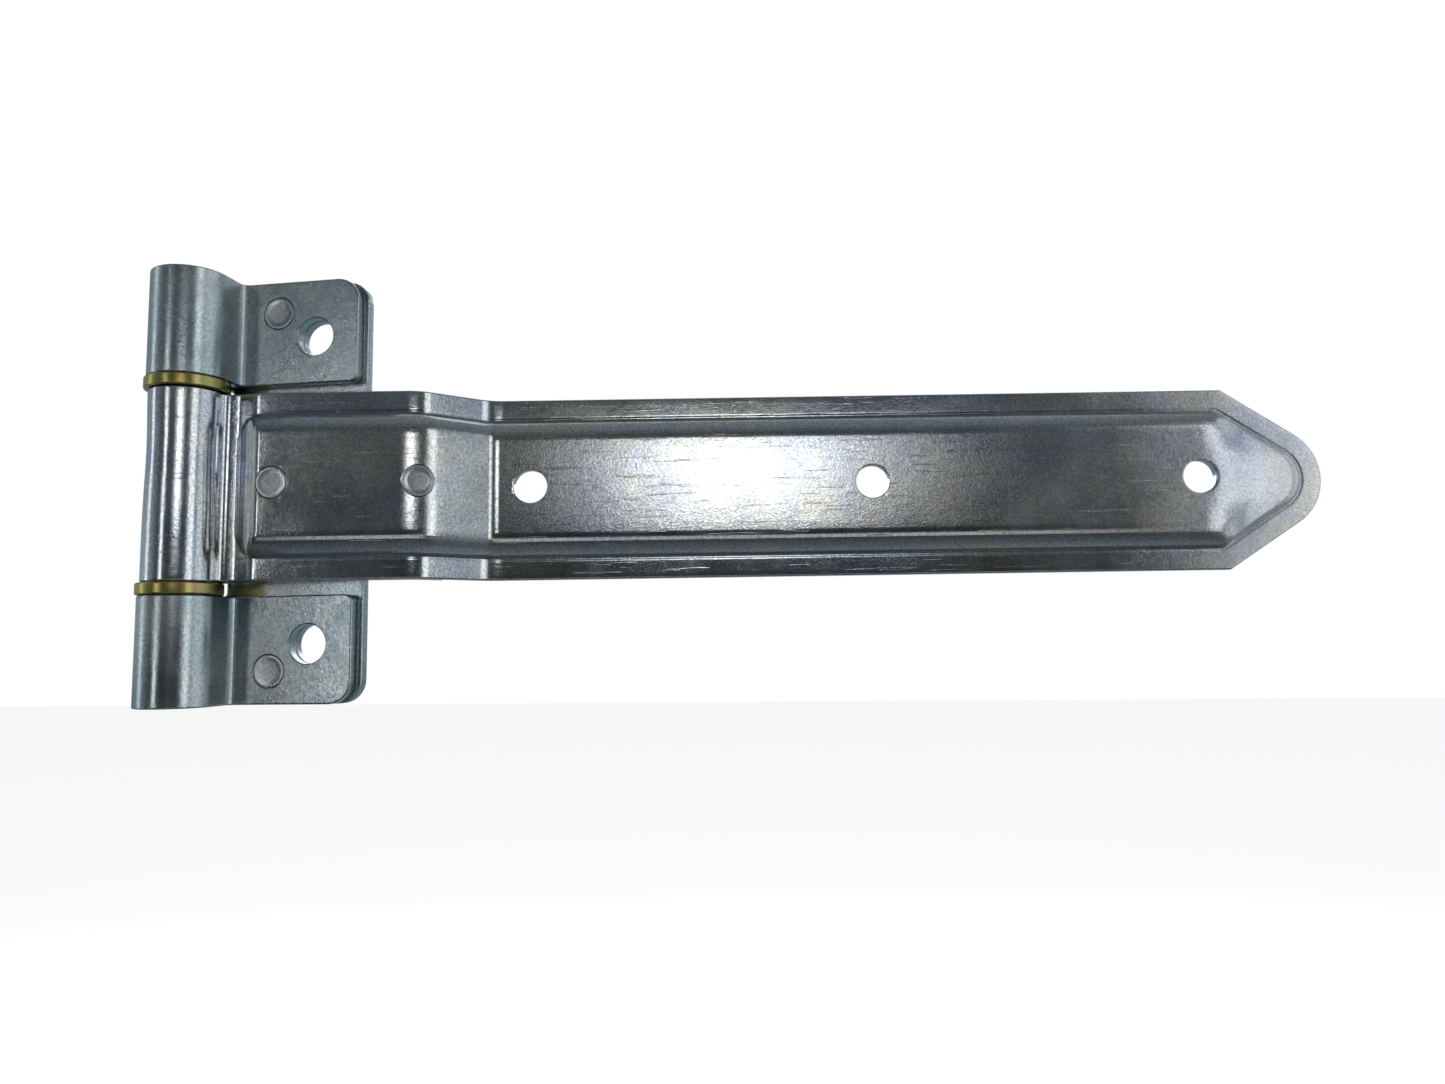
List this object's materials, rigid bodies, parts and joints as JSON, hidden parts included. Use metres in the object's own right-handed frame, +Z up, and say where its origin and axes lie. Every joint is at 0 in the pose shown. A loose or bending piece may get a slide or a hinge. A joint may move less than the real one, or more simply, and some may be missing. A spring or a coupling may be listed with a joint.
{
  "type": "t hinge",
  "caption": "Heavy strap T hinge: a folded two-hole frame bracket, a long embossed and stepped strap with a pointed tip, a pin and plated spacer washers.",
  "frame": {"origin": "midway between the bracket's two bolt holes, on its rear mounting face", "axes": "+X from the pin towards the strap's tip, +Z up along the pin, front faces -Y"},
  "size_m": [0.3008, 0.0676, 0.1104],
  "materials": {
    "zinc_bracket": "bright zinc plate, fine mottled grain",
    "zinc_strap": "bright zinc plate, glossy with fine scratches",
    "pin_steel": "bright zinc plate, turned ends",
    "yellow_plate": "yellow passivated zinc with olive and pink tints",
    "zinc_rivet": "bright zinc plate, pressed flush"
  },
  "bodies": {
    "bracket": {"frame_bracket": "zinc_bracket", "hinge_pin": "pin_steel", "upper_bracket_rivet": "zinc_rivet", "lower_bracket_rivet": "zinc_rivet"},
    "strap": {"strap_leaf": "zinc_strap", "inner_strap_rivet": "zinc_rivet", "outer_strap_rivet": "zinc_rivet"},
    "upper_spacer": {"upper_washer": "yellow_plate"},
    "lower_spacer": {"lower_washer": "yellow_plate"}
  },
  "joints": [
    {"name": "strap_swing", "type": "hinge", "parent": "bracket", "child": "strap", "pos_m": [-0.03, -0.014, 0], "axis": [0, 0, -1], "range_deg": [0, 270]},
    {"name": "upper_washer_spin", "type": "hinge", "parent": "bracket", "child": "upper_spacer", "pos_m": [-0.03, -0.014, 0.026], "axis": [0, 0, 1], "continuous": true},
    {"name": "lower_washer_spin", "type": "hinge", "parent": "bracket", "child": "lower_spacer", "pos_m": [-0.03, -0.014, -0.026], "axis": [0, 0, 1], "continuous": true}
  ]
}
